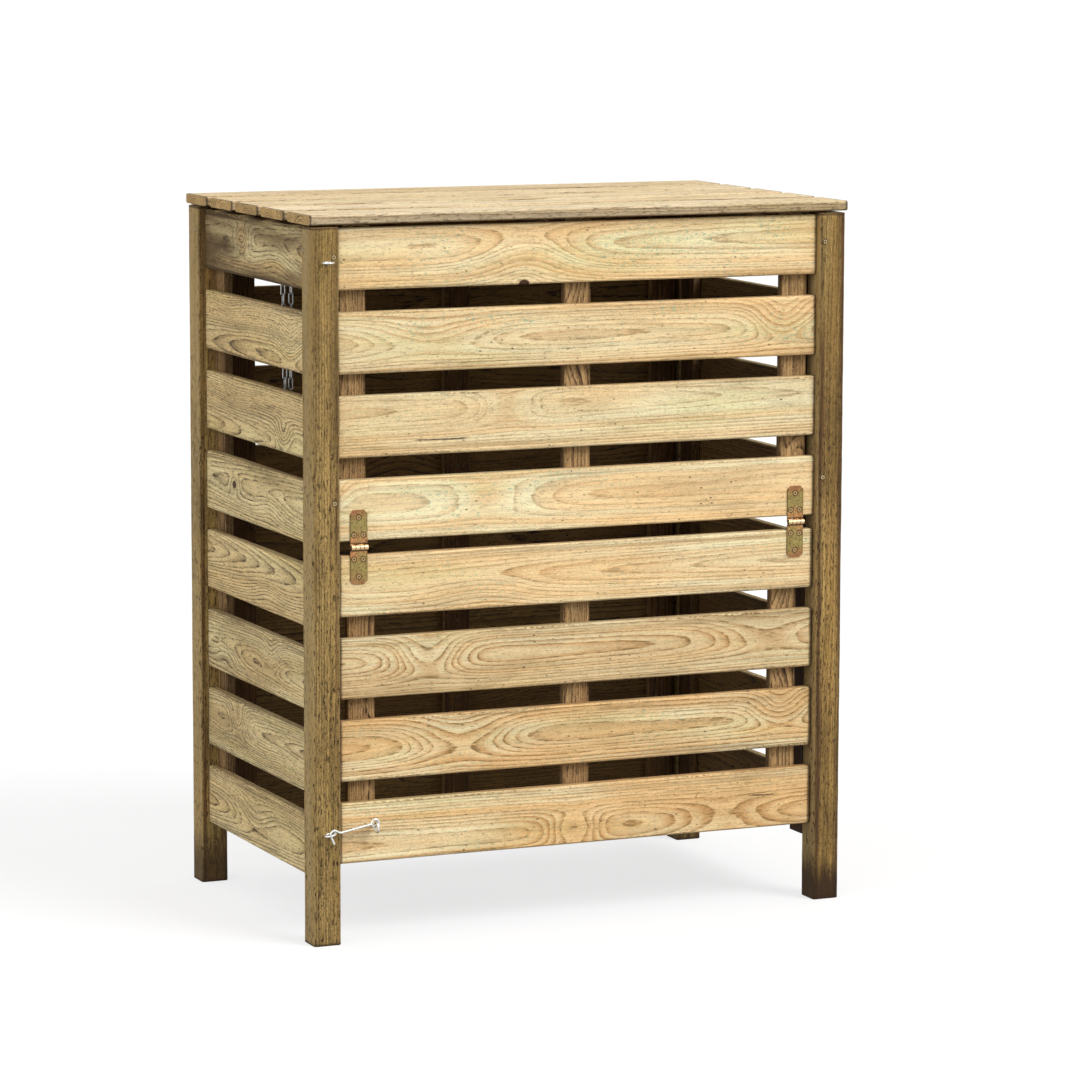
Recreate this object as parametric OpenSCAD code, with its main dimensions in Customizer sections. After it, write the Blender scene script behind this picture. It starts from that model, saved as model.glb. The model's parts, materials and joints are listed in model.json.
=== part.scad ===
// Slatted timber compost bin: four posts, open board panels, a lift-up lid on a stay chain
// and a bottom-front flap held shut by a hook and eye.
// Millimetres. X runs to the right, Y away from the front, Z up. The origin is on the ground,
// under the middle of the whole object.

/* [Frame] */
// Width over the posts
overall_w = 900; // [760:1:1200]
// Depth over the posts
overall_d = 552; // [520:1:760]
// Height of the posts
post_h = 1100; // [1060:1:1300]
// Side of the square posts
post_s = 45; // [42:1:60]
// Rounding of the long edges of the posts
post_r = 4; // [1:0.5:8]

/* [Boards] */
// Width of every board
board_w = 95; // [85:1:100]
// Thickness of every board
board_t = 16; // [14:0.5:20]
// Rounding of the long edges of the boards
board_r = 3; // [1:0.5:5]
// How far the wall boards sit behind the outer faces of the posts
panel_inset = 12; // [8:0.5:14]
// Drop from the post tops to the highest board of the front
front_drop = 1.7; // [1:0.1:6]
// Drop from the post tops to the highest board of the sides and back
side_drop = 3.5; // [1:0.1:6]
// Clear height under the flap
flap_clear = 123; // [90:1:160]
// Clear height under the sides and back
side_clear = 99.2; // [60:0.1:140]
// Gap between the fixed front and the flap, which the hinges bridge
hinge_gap = 20.9; // [16:0.1:30]
// Play between each end of the flap and the post beside it
flap_play = 2.5; // [1:0.5:6]

/* [Battens] */
// Width of the battens behind the boards
batten_w = 45; // [38:1:55]
// Thickness of the battens
batten_t = 16; // [14:0.5:20]
// Rounding of the long edges of the battens
batten_r = 2; // [0.5:0.5:4]
// Space between a post and the outer batten of the front and back
batten_off = 8; // [5:0.5:14]
// Space between a post and the outer batten of the flap
flap_batten_off = 22; // [16:0.5:30]
// Space between a post and the outer batten of the lid
lid_batten_off = 15; // [12:0.5:20]

/* [Lid] */
// Overhang of the lid boards past the posts at each end
lid_over = 3; // [0:0.5:10]
// Gap between the post tops and the lid, which holds the folded hinge leaves
lid_clear = 3; // [3:0.1:5]
// Angle at which the stay chain stops the lid
lid_open = 95; // [92:1:100]

/* [Hinges] */
// Width of a hinge leaf
leaf_w = 28; // [24:1:34]
// Thickness of a hinge leaf
leaf_t = 1.4; // [1:0.1:1.4]
// Reach of a flap hinge leaf from the pin
flap_leaf = 57; // [50:1:64]
// Reach of a lid hinge leaf from the pin
lid_leaf = 42; // [36:1:44]
// Cut corners of a leaf
leaf_clip = 5.5; // [2:0.5:8]
// Diameter of the rolled knuckles
knuckle_d = 8; // [7:0.5:9]
// Diameter of the hinge pins
pin_d = 4; // [3:0.1:4.5]
// Distance of the near pair of screws from the pin on the flap hinges
flap_row_near = 18.7; // [12:0.1:28]
// Distance of the far screw from the end of a flap leaf
flap_row_end = 11.7; // [7:0.1:16]
// Distance of the near pair of screws from the pin on the lid hinges
lid_row_near = 14; // [12:0.1:20]
// Distance of the far screw from the end of a lid leaf
lid_row_end = 10; // [6:0.1:13]
// Distance between the screws of a pair
row_pair = 15; // [10:0.5:19]
// Distance of the middle of a flap hinge from the post beside it
hinge_in = 34; // [28:1:60]

/* [Hook and eyes] */
// Wire of the hook and of the screw eyes
wire_d = 3.5; // [3:0.1:3.8]
// Outer diameter of the screw eyes
eye_d = 19.3; // [18.5:0.1:21]
// Outer diameter of the ring of the hook
hook_ring_d = 15.4; // [15:0.1:16]
// Distance of the flap's eye from the edge of the post
flap_eye_in = 54.5; // [50:0.5:60]
// Height of the flap's eye above the lower edge of the flap
flap_eye_up = 58; // [40:1:70]
// How far the hook hangs in front of the posts
hook_out = 8; // [6:0.5:9]
// How far the centres of the eyes stand in front of the posts
post_eye_out = 11; // [10.8:0.1:12]

/* [Stay chain] */
// Wire of the chain links
link_wire = 2.2; // [1.8:0.1:2.4]
// Clear width inside a link
link_gap = 4; // [4:0.1:4.6]
// Distance behind the front at which the chain hangs from the left wall
chain_wall_back = 214; // [205:1:218]
// Distance behind the front at which the chain hangs from the lid
chain_lid_back = 230; // [225:1:236]
// Height of the chain's wall screw below the post tops
chain_wall_drop = 22; // [16:1:30]

/* [Screws] */
// Shank of the screws and chain screws
screw_d = 3.5; // [3:0.1:3.8]
// Head of the hinge screws
screw_head = 7; // [6:0.1:7.5]
// Length of the hinge screws
screw_l = 15; // [12:1:15]
// Shank of the long screws through the posts
post_screw_d = 4; // [3.5:0.1:5]
// Head of the long screws
post_screw_head = 8; // [7:0.1:9]
// Bite of the long screws in the battens
post_screw_bite = 25; // [20:1:28]
// Drop of the high screws in the front faces below the post tops
front_screw_drop = 45; // [30:1:90]
// Drop of the high screws in the back faces below the post tops
back_screw_drop = 90; // [60:1:130]
// Drop of the middle screws in the front and back faces below the post tops
middle_screw_drop = 418; // [380:1:450]
// Height of the high screws in the side faces above those that they cross
high_stagger = 9; // [7:1:16]
// Height of the middle screws in the side faces above those that they cross
middle_stagger = 18; // [8:1:40]

/* [Hidden] */
$fn = 48;
SLATS = 8;
FRONT_SLATS = 4;
LID_BOARDS = 5;
KNUCKLES = 4;

// Running clearances
seat = 0.3;
pin_play = 0.05;
knuckle_play = 0.2;
knuckle_window = 1.6;
leaf_play = 0.2;
fold_play = 0.1;
hole_play = 0.15;
ring_play = 0.2;

// The depth of the whole object runs from the rings of the eyes to the knuckles of the lid
// hinges, so the box of the posts sits a little behind the origin.
knuckle_r = knuckle_d / 2;
front_reach = post_eye_out + eye_d / 2;
back_reach = knuckle_d + leaf_play;
y_mid = (front_reach - back_reach) / 2;
y_front = y_mid - overall_d / 2;
y_back = y_mid + overall_d / 2;

// Faces of the panels
x_post_in = overall_w / 2 - post_s;
x_post_mid = overall_w / 2 - post_s / 2;
x_wall_out = overall_w / 2 - panel_inset;
x_wall_in = x_wall_out - board_t;
y_front_face = y_front + panel_inset;
y_front_in = y_front_face + board_t;
y_back_in = y_back - panel_inset - board_t;
side_l = overall_d - 2 * post_s;
front_l = 2 * x_post_in;
flap_l = front_l - 2 * flap_play;

// Heights of the lower edges of the boards, counted from the top
side_gap = (post_h - side_drop - side_clear - SLATS * board_w) / (SLATS - 1);
front_gap = (post_h - front_drop - flap_clear - hinge_gap - SLATS * board_w) / (SLATS - 2);
function side_z(i) = post_h - side_drop - i * board_w - (i - 1) * side_gap;
function front_z(i) = post_h - front_drop - i * board_w - (i - 1) * front_gap;
flap_top = front_z(FRONT_SLATS) - hinge_gap;
function flap_z(i) = flap_top - i * board_w - (i - 1) * front_gap;

// Lid
lid_z = post_h + lid_clear;
lid_l = overall_w + 2 * lid_over;
lid_gap = (overall_d - LID_BOARDS * board_w) / (LID_BOARDS - 1);
function lid_y(i) = y_front + board_w / 2 + (i - 1) * (board_w + lid_gap);
lid_batten_z = lid_z - batten_t;
lid_batten_play = 1.5;
lid_batten_l = y_back_in - y_front_in - 2 * lid_batten_play;

// Battens
batten_top = lid_batten_z - seat;
x_batten = x_post_in - batten_off - batten_w / 2;
x_flap_batten = x_post_in - flap_batten_off - batten_w / 2;
x_lid_batten = x_post_in - lid_batten_off - batten_w / 2;
y_batten = overall_d / 2 - post_s - batten_w / 2;
x_side_batten = x_wall_in - batten_t / 2;
flap_batten_short = 6;

// Hinge axes
flap_axis_y = y_front_face - knuckle_r;
flap_axis_z = flap_top + hinge_gap * 0.59;
lid_axis_y = y_back + knuckle_r + leaf_play;
lid_axis_z = post_h + lid_clear / 2;
lid_plate_off = lid_clear / 2;

// Screws in a leaf: distance from the pin and from the middle of the leaf
flap_rows = [
  [flap_row_near, -row_pair / 2], [flap_row_near, row_pair / 2], [flap_leaf - flap_row_end, 0]
];
lid_rows = [
  [lid_row_near, -row_pair / 2], [lid_row_near, row_pair / 2], [lid_leaf - lid_row_end, 0]
];
hinge_x = x_post_in - hinge_in;

// Screw eyes: radius to the middle of the wire, and length of the thread in the wood. A
// straight wire joins a ring a little outside the middle of the ring's wire.
eye_r = (eye_d - wire_d) / 2;
eye_thread = 14;
eye_tilt = 12;
wire_bite = wire_d * 0.2;

// The straight lengths of a bent wire run a little into its bends, and are a hair thinner
wire_lap = 0.1;
wire_thin = 0.02;

// Hook, in its own upright plane: it droops from its ring, dips, humps over the eye on the
// post and ends in a tip that points down through that eye.
hook_y = y_front - hook_out;
hook_ring_r = (hook_ring_d - wire_d) / 2;
flap_eye_x = -(x_post_in - flap_eye_in);
flap_eye_z = flap_z(FRONT_SLATS) + flap_eye_up;
ring_land = 0.15;
hang = hook_ring_r + ring_land - wire_d - ring_play;
hang_angle = 32;
hook_x = flap_eye_x - hang * cos(hang_angle);
hook_z = flap_eye_z + eye_r - hang * sin(hang_angle);
droop = 10.8;
rise = 30;
dip_r = 9;
hump_r = 6;
ramp_l = 4;
tip_turn = 143.5;
tip_l = 13.5;
post_eye_x = -x_post_mid;
hump_x = post_eye_x + eye_r * cos(eye_tilt);
hook_rod = (hook_x - hump_x - dip_r * (sin(rise) + sin(droop)) - ramp_l * cos(rise)
  - hump_r * sin(rise)) / cos(droop);
hump_z = hook_z - hook_rod * sin(droop) + dip_r * (cos(droop) - cos(rise)) + ramp_l * sin(rise)
  + hump_r * (1 - cos(rise));
lower_eye_z = hump_z - wire_d - seat - eye_r * sin(eye_tilt);
post_eye_y = y_front - post_eye_out;
// The flap folds up until its hook stands in the middle of the upper eye, tip up, and its
// hump lies just under that eye's ring
hook_drop = flap_axis_z - hump_z;
hook_ahead = flap_axis_y - hook_y;
flap_fold = asin((flap_axis_y - post_eye_y) / norm([hook_drop, hook_ahead]))
  + atan2(hook_ahead, hook_drop);
flap_open = 180 - flap_fold;
upper_eye_z = flap_axis_z + hook_drop * cos(flap_fold) + hook_ahead * sin(flap_fold)
  + wire_d + 2 * seat;

// Stay chain: wall pivot, lid pivot and the reach between them when the lid stands open.
// The chain hangs as two strands that meet at the lowest link.
chain_standoff = 8;
chain_head = 8;
link_seat = 0.3;
wall_pivot_x = -(x_wall_in - chain_standoff / 2 - link_wire / 2);
lid_side_x = -(x_lid_batten + batten_w / 2);
lid_pivot_x = lid_side_x - chain_standoff / 2 - link_wire / 2;
wall_pivot = [y_front + chain_wall_back, post_h - chain_wall_drop];
lid_pivot = [y_front + chain_lid_back, lid_z - batten_t / 2];
lid_pivot_rel = lid_pivot - [lid_axis_y, lid_axis_z];
lid_pivot_open = [
  lid_axis_y + lid_pivot_rel[0] * cos(lid_open) + lid_pivot_rel[1] * sin(lid_open),
  lid_axis_z - lid_pivot_rel[0] * sin(lid_open) + lid_pivot_rel[1] * cos(lid_open)
];
chain_reach = norm(lid_pivot_open - wall_pivot);
wall_strand_l = (chain_reach - (lid_pivot[1] - wall_pivot[1])) / 2;
lid_strand_l = chain_reach - wall_strand_l;
// The wall strand leans back and the lid strand leans forward, until their ends meet
pivot_span = norm(lid_pivot - wall_pivot);
pivot_angle = atan2(lid_pivot[0] - wall_pivot[0], lid_pivot[1] - wall_pivot[1]);
wall_corner = acos((pivot_span ^ 2 + wall_strand_l ^ 2 - lid_strand_l ^ 2)
  / (2 * pivot_span * wall_strand_l));
lid_corner = asin(wall_strand_l * sin(wall_corner) / lid_strand_l);
wall_lean = 180 - pivot_angle - wall_corner;
lid_lean = pivot_angle - lid_corner;
link_w = link_gap + 2 * link_wire;
strand_pass = link_w + 0.6;
chain_low_x = (wall_pivot_x + lid_pivot_x) / 2 + 1.2;
link_aim = 16.6;

// Screws through the posts: heights on the front, on the back and on the side faces
front_screw_z = [post_h - front_screw_drop, post_h - middle_screw_drop];
back_screw_z = [post_h - back_screw_drop, post_h - middle_screw_drop];
side_screw_z = [front_screw_z[0] + high_stagger, front_screw_z[1] + middle_stagger];
y_panel_batten = overall_d / 2 - panel_inset - board_t - batten_t / 2;
post_screw_sink = 0.6;

// Nails through the battens into the boards
nail_d = 2.5;
nail_head = 5.5;
nail_head_t = 0.8;
nail_l = batten_t + board_t - 4;

// Rectangle w by t, centred, with rounded corners
module rounded_section(w, t, r) {
  square([w - 2 * r, t], center = true);
  square([w, t - 2 * r], center = true);
  for (x = [-1, 1], y = [-1, 1])
    translate([x * (w / 2 - r), y * (t / 2 - r)]) circle(r);
}

// Bars centred on their middle: along X and upright, along Y and upright, along X and flat,
// along Y and flat, and standing
module bar_x(l, w, t, r) rotate([0, 90, 0]) linear_extrude(l, center = true) rounded_section(w, t, r);
module bar_y(l, w, t, r) rotate([90, 0, 0]) linear_extrude(l, center = true) rounded_section(t, w, r);
module flat_x(l, w, t, r) rotate([0, 90, 0]) linear_extrude(l, center = true) rounded_section(t, w, r);
module flat_y(l, w, t, r) rotate([90, 0, 0]) linear_extrude(l, center = true) rounded_section(w, t, r);
module upright(l, wx, wy, r) linear_extrude(l) rounded_section(wx, wy, r);

// Outline of a countersunk screw in its half section, head at the top, grown by a clearance
module screw_half(shank, head, l, grow) {
  r = shank / 2 + grow;
  h = head / 2 + grow;
  polygon([[0, 0], [h, 0], [r, r - h], [r, -l + shank], [0, -l]]);
}

// Countersunk screw pointing down, its head level with Z = 0, with a cross recess
module screw(shank, head, l) {
  difference() {
    rotate_extrude() screw_half(shank, head, l, 0);
    for (a = [0, 90]) rotate(a) cube([head * 0.62, head * 0.15, head * 0.4], center = true);
  }
}

// Hole for such a screw, open above
module screw_hole(shank, head, l) {
  rotate_extrude() screw_half(shank, head, l, hole_play);
  translate([0, 0, -0.01]) cylinder(r = head / 2 + hole_play, h = 5);
}

// Round-headed screw pointing down whose shank stands bare above Z = 0
module standing_screw(stand, l) {
  r = chain_head / 2;
  rotate_extrude() polygon([
    [0, stand + 0.65 * r], [0.55 * r, stand + 0.6 * r], [0.88 * r, stand + 0.38 * r], [r, stand],
    [screw_d / 2, stand], [screw_d / 2, -l + screw_d], [0, -l]
  ]);
}

// Round nail pointing down, its head above Z = 0
module nail() {
  rotate_extrude() polygon([
    [0, nail_head_t], [nail_head / 2, nail_head_t], [nail_head / 2, 0], [nail_d / 2, 0],
    [nail_d / 2, -nail_l + nail_d], [0, -nail_l]
  ]);
}

// Wire ring in the XY plane
module ring(r) rotate_extrude() translate([r, 0]) circle(d = wire_d);

// Screw eye: its ring lies in the XY plane around the origin, and its shank runs along -X for
// a distance of stand to the wood, then for a thread's length into it
module screw_eye(stand) {
  start = eye_r + wire_bite;
  l = stand + eye_thread - wire_d - start;
  ring(eye_r);
  rotate([0, -90, 0]) translate([0, 0, start]) {
    cylinder(d = wire_d, h = l);
    translate([0, 0, l]) cylinder(d1 = wire_d, d2 = 0.4, h = wire_d);
  }
}

// Bent wire in the XY plane that starts along +X: each step is a straight length, the turn
// after it to the left and the radius of that turn. It ends in a blunt tip.
module bent_wire(steps, i = 0) {
  if (i == len(steps)) rotate([0, 90, 0]) cylinder(d1 = wire_d, d2 = wire_d * 0.6, h = wire_d * 0.3);
  else {
    l = steps[i][0];
    turn = steps[i][1];
    r = steps[i][2];
    side = turn < 0 ? -1 : 1;
    translate([-wire_lap, 0, 0]) rotate([0, 90, 0])
      cylinder(d = wire_d - wire_thin, h = l + 2 * wire_lap);
    translate([l, side * r, 0]) {
      if (turn > 0) rotate(-90) rotate_extrude(angle = turn) translate([r, 0]) circle(d = wire_d);
      if (turn < 0) rotate(90 + turn) rotate_extrude(angle = -turn) translate([r, 0]) circle(d = wire_d);
      rotate(turn) translate([0, -side * r, 0]) bent_wire(steps, i + 1);
    }
  }
}

// One leaf, with the pin along X through the origin. It reaches up, and the wood lies on the
// +Y side of it, off from the pin. It owns every second knuckle, from the given one on.
module hinge_leaf(reach, off, rows, first) {
  knuckle_l = leaf_w / KNUCKLES;
  difference() {
    union() {
      translate([0, off, 0]) rotate([90, 0, 0]) linear_extrude(leaf_t) difference() {
        polygon([
          [-leaf_w / 2, 0], [leaf_w / 2, 0], [leaf_w / 2, reach - leaf_clip],
          [leaf_w / 2 - leaf_clip, reach], [leaf_clip - leaf_w / 2, reach],
          [-leaf_w / 2, reach - leaf_clip]
        ]);
        for (k = [1 - first:2:KNUCKLES - 1])
          translate([k * knuckle_l - leaf_w / 2 - (k == 0 ? 1 : knuckle_play / 2), -1])
            square([knuckle_l + (k == 0 || k == KNUCKLES - 1 ? 1 + knuckle_play / 2 : knuckle_play),
              knuckle_r + knuckle_window]);
      }
      for (k = [first:2:KNUCKLES - 1])
        translate([k * knuckle_l - leaf_w / 2 + knuckle_play / 2, 0, 0]) rotate([0, 90, 0])
          cylinder(r = knuckle_r, h = knuckle_l - knuckle_play);
    }
    translate([-leaf_w / 2 - 1, 0, 0]) rotate([0, 90, 0])
      cylinder(d = pin_d + 2 * pin_play, h = leaf_w + 2);
    for (p = rows) translate([p[1], off - leaf_t, p[0]]) rotate([90, 0, 0])
      screw_hole(screw_d, screw_head, screw_l);
  }
}

// Screws of such a leaf
module leaf_screws(off, rows) {
  for (p = rows) translate([p[1], off - leaf_t, p[0]]) rotate([90, 0, 0])
    rotate(p[0] * 7 + p[1] * 5) screw(screw_d, screw_head, screw_l);
}

// Both places of the flap hinges and of the lid hinges. The child is a leaf as hinge_leaf
// makes it: upwards or downwards on the front, on the posts or under the lid at the back.
module at_flap_hinges(down) {
  for (x = [-hinge_x, hinge_x]) translate([x, flap_axis_y, flap_axis_z])
    mirror([0, 0, down ? 1 : 0]) children();
}
module at_lid_hinges(on_post) {
  for (x = [-x_post_mid, x_post_mid]) translate([x, lid_axis_y, lid_axis_z])
    mirror([0, 0, on_post ? 1 : 0]) rotate([90, 0, 0]) children();
}

// One long screw of a post, on the face that its direction leaves
module post_screw_at(x, y, z, turn) {
  translate([x, y, z]) rotate([0, 0, turn]) rotate([90, 0, 0]) children();
}

// Places of all the long screws of one post: front or back face, then outer side face.
// sx and sy are the signs of the post's corner.
module at_post_screws(sx, sy) {
  face_z = sy < 0 ? front_screw_z : back_screw_z;
  for (z = face_z)
    post_screw_at(sx * x_side_batten, y_mid + sy * (overall_d / 2 - post_screw_sink), z,
      sy < 0 ? 0 : 180) children(0);
  for (z = side_screw_z)
    post_screw_at(sx * (overall_w / 2 - post_screw_sink), y_mid + sy * y_panel_batten, z,
      sx < 0 ? -90 : 90) children(1);
}

// Square post at one corner, drilled for its screws
module post(sx, sy) {
  color([0.55, 0.43, 0.27]) difference() {
    translate([sx * x_post_mid, y_mid + sy * (overall_d / 2 - post_s / 2), 0])
      upright(post_h, post_s, post_s, post_r);
    at_post_screws(sx, sy) {
      screw_hole(post_screw_d, post_screw_head, post_s + 4);
      screw_hole(post_screw_d, post_screw_head, post_s + 4);
    }
  }
}

module post_screws() {
  color([0.62, 0.58, 0.45]) for (sx = [-1, 1], sy = [-1, 1]) at_post_screws(sx, sy) {
    screw(post_screw_d, post_screw_head, post_s + post_screw_bite);
    screw(post_screw_d, post_screw_head, post_s + batten_off + post_screw_bite);
  }
}

module front_slat(i) {
  color([0.84, 0.72, 0.50]) translate([0, y_front_face + board_t / 2, front_z(i) + board_w / 2])
    bar_x(front_l, board_w, board_t, board_r);
}

module flap_slat(i) {
  color([0.84, 0.72, 0.50]) translate([0, y_front_face + board_t / 2, flap_z(i) + board_w / 2])
    bar_x(flap_l, board_w, board_t, board_r);
}

module side_slat(sx, i) {
  color([0.72, 0.62, 0.42]) translate([sx * (x_wall_in + board_t / 2), y_mid, side_z(i) + board_w / 2])
    bar_y(side_l, board_w, board_t, board_r);
}

module back_slats() {
  color([0.72, 0.62, 0.42]) for (i = [1:SLATS])
    translate([0, y_back_in + board_t / 2, side_z(i) + board_w / 2])
      bar_x(front_l, board_w, board_t, board_r);
}

module lid_board(i) {
  color([0.88, 0.78, 0.58]) translate([0, lid_y(i), lid_z + board_t / 2])
    flat_x(lid_l, board_w, board_t, board_r);
}

// Three standing battens behind a front, flap or back panel
module panel_battens(x, y, z0, z1) {
  color([0.74, 0.62, 0.42]) for (k = [-1, 0, 1]) translate([k * x, y, z0])
    upright(z1 - z0, batten_w, batten_t, batten_r);
}

module front_battens() {
  panel_battens(x_batten, y_front_in + batten_t / 2, front_z(FRONT_SLATS), batten_top);
}

module flap_battens() {
  panel_battens(x_flap_batten, y_front_in + batten_t / 2, flap_z(FRONT_SLATS) + flap_batten_short,
    flap_top - flap_batten_short);
}

module back_battens() {
  panel_battens(x_batten, y_back_in - batten_t / 2, side_z(SLATS), batten_top);
}

// Two standing battens beside the posts of a side
module side_battens(sx) {
  color([0.74, 0.62, 0.42]) for (sy = [-1, 1])
    translate([sx * x_side_batten, y_mid + sy * y_batten, side_z(SLATS)])
      upright(SLATS * board_w + (SLATS - 1) * side_gap, batten_t, batten_w, batten_r);
}

module lid_battens() {
  color([0.74, 0.62, 0.42]) for (k = [-1, 0, 1])
    translate([k * x_lid_batten, y_mid, lid_batten_z + batten_t / 2])
      flat_y(lid_batten_l, batten_w, batten_t, batten_r);
}

module flap_hinge_upper_leaves() {
  color([0.66, 0.56, 0.36]) at_flap_hinges(false) hinge_leaf(flap_leaf, knuckle_r, flap_rows, 0);
}

module flap_hinge_lower_leaves() {
  color([0.66, 0.56, 0.36]) at_flap_hinges(true) hinge_leaf(flap_leaf, knuckle_r, flap_rows, 1);
}

module lid_hinge_post_leaves() {
  color([0.66, 0.56, 0.36]) at_lid_hinges(true) hinge_leaf(lid_leaf, lid_plate_off, lid_rows, 0);
}

module lid_hinge_lid_leaves() {
  color([0.66, 0.56, 0.36]) at_lid_hinges(false) hinge_leaf(lid_leaf, lid_plate_off, lid_rows, 1);
}

// Pin of a hinge, along X
module pin() {
  translate([-leaf_w / 2 - 0.4, 0, 0]) rotate([0, 90, 0]) cylinder(d = pin_d, h = leaf_w + 0.8);
}

module hinge_pins() {
  color([0.70, 0.62, 0.44]) {
    at_flap_hinges(false) pin();
    at_lid_hinges(false) pin();
  }
}

module hinge_screws_frame() {
  color([0.70, 0.62, 0.44]) {
    at_flap_hinges(false) leaf_screws(knuckle_r, flap_rows);
    at_lid_hinges(true) leaf_screws(lid_plate_off, lid_rows);
  }
}

module hinge_screws_flap() {
  color([0.70, 0.62, 0.44]) at_flap_hinges(true) leaf_screws(knuckle_r, flap_rows);
}

module hinge_screws_lid() {
  color([0.70, 0.62, 0.44]) at_lid_hinges(false) leaf_screws(lid_plate_off, lid_rows);
}

module hook() {
  color([0.80, 0.80, 0.78]) translate([hook_x, hook_y, hook_z]) rotate([90, 0, 0]) {
    difference() {
      ring(hook_ring_r);
      cylinder(r = hook_ring_r - wire_d / 2 + ring_land, h = 2 * wire_d, center = true);
    }
    rotate(180 + droop) translate([hook_ring_r + wire_bite, 0, 0]) bent_wire([
      [hook_rod - hook_ring_r - wire_bite, -(rise + droop), dip_r],
      [ramp_l, tip_turn, hump_r],
      [tip_l, 0, 0]
    ]);
  }
}

module flap_eye() {
  color([0.80, 0.80, 0.78]) translate([flap_eye_x, hook_y, flap_eye_z]) rotate([0, 90, 0])
    rotate(-90) screw_eye(y_front_face - hook_y);
}

// Eye on the front left post, its ring lying flat or a little tilted
module post_eye(z, tilt) {
  color([0.80, 0.80, 0.78]) translate([post_eye_x, post_eye_y, z]) rotate([0, -tilt, 0])
    rotate(-90) screw_eye(post_eye_out);
}

// One chain link in the YZ plane, its inner length along Z, centred
module link(inner) {
  bend = (link_gap + link_wire) / 2;
  run = inner / 2 - link_gap / 2;
  for (s = [-1, 1]) {
    translate([0, s * bend, 0]) cylinder(d = link_wire - wire_thin, h = 2 * (run + wire_lap), center = true);
    translate([0, 0, s * run]) rotate([0, 90, 0]) rotate(s < 0 ? -90 : 90)
      rotate_extrude(angle = 180) translate([bend, 0]) circle(d = link_wire);
  }
}

// Strand of links that hangs from a pivot along X through the origin, leaning sideways by a
// slope so that its lowest link is at low_x
module strand(l, low_x) {
  n = round(l / link_aim);
  lift = screw_d / 2 + pin_play;
  inner = (l + lift + link_seat * (n - 1)) / n;
  for (k = [0:n - 1]) {
    drop = inner / 2 - lift + k * (inner - link_seat);
    translate([low_x * drop / l, 0, -drop]) rotate(k % 2 * 90) link(inner);
  }
}

module chain_strand_wall() {
  color([0.78, 0.78, 0.76]) translate([wall_pivot_x, wall_pivot[0], wall_pivot[1]])
    rotate([wall_lean, 0, 0]) strand(wall_strand_l, chain_low_x - strand_pass / 2 - wall_pivot_x);
}

module chain_strand_lid() {
  color([0.78, 0.78, 0.76]) translate([lid_pivot_x, lid_pivot[0], lid_pivot[1]])
    rotate([-lid_lean, 0, 0]) strand(lid_strand_l, chain_low_x + strand_pass / 2 - lid_pivot_x);
}

module chain_screw_wall() {
  color([0.80, 0.80, 0.78]) translate([-x_wall_in, wall_pivot[0], wall_pivot[1]])
    rotate([0, 90, 0]) standing_screw(chain_standoff, screw_l - 1);
}

module chain_screw_lid() {
  color([0.80, 0.80, 0.78]) translate([lid_side_x, lid_pivot[0], lid_pivot[1]])
    rotate([0, -90, 0]) standing_screw(chain_standoff, 2 * screw_l);
}

// Nails of a front, flap or back panel: x is the outer batten, y the free face of the battens
module panel_nails_at(x, y, turn, heights) {
  for (k = [-1, 0, 1], z = heights) translate([k * x, y, z]) rotate([turn, 0, 0]) nail();
}

module panel_nails() {
  color([0.60, 0.60, 0.60]) {
    panel_nails_at(x_batten, y_front_in + batten_t, -90,
      [for (i = [1:FRONT_SLATS]) front_z(i) + board_w / 2]);
    panel_nails_at(x_batten, y_back_in - batten_t, 90,
      [for (i = [1:SLATS]) side_z(i) + board_w / 2]);
    for (sx = [-1, 1], sy = [-1, 1], i = [1:SLATS])
      translate([sx * (x_wall_in - batten_t), y_mid + sy * y_batten, side_z(i) + board_w / 2])
        rotate([0, -sx * 90, 0]) nail();
  }
}

module flap_nails() {
  color([0.60, 0.60, 0.60]) panel_nails_at(x_flap_batten, y_front_in + batten_t, -90,
    [for (i = [1:FRONT_SLATS]) flap_z(i) + board_w / 2]);
}

module lid_nails() {
  color([0.60, 0.60, 0.60]) for (k = [-1, 0, 1], i = [1:LID_BOARDS])
    translate([k * x_lid_batten, lid_y(i), lid_batten_z]) rotate([180, 0, 0]) nail();
}

post(-1, -1);  // post_front_left
post(1, -1);  // post_front_right
post(-1, 1);  // post_back_left
post(1, 1);  // post_back_right
for (i = [1:FRONT_SLATS]) {
  front_slat(i);
  flap_slat(i);
}
for (i = [1:SLATS]) {
  side_slat(-1, i);
  side_slat(1, i);
}
back_slats();
for (i = [1:LID_BOARDS]) {
  lid_board(i);
}
front_battens();
flap_battens();
back_battens();
side_battens(-1);  // left_battens
side_battens(1);  // right_battens
lid_battens();
flap_hinge_upper_leaves();
flap_hinge_lower_leaves();
lid_hinge_post_leaves();
lid_hinge_lid_leaves();
hinge_pins();
hinge_screws_frame();
hinge_screws_flap();
hinge_screws_lid();
hook();
flap_eye();
post_eye(lower_eye_z, eye_tilt);  // lower_eye
post_eye(upper_eye_z, 0);  // upper_eye
chain_strand_wall();
chain_strand_lid();
chain_screw_wall();
chain_screw_lid();
post_screws();
panel_nails();
flap_nails();
lid_nails();
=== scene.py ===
"""Looks for a slatted timber compost bin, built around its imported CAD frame.
Metres, X to the right, Y away from the front, Z up."""
from dataclasses import dataclass
import json
import math

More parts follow.
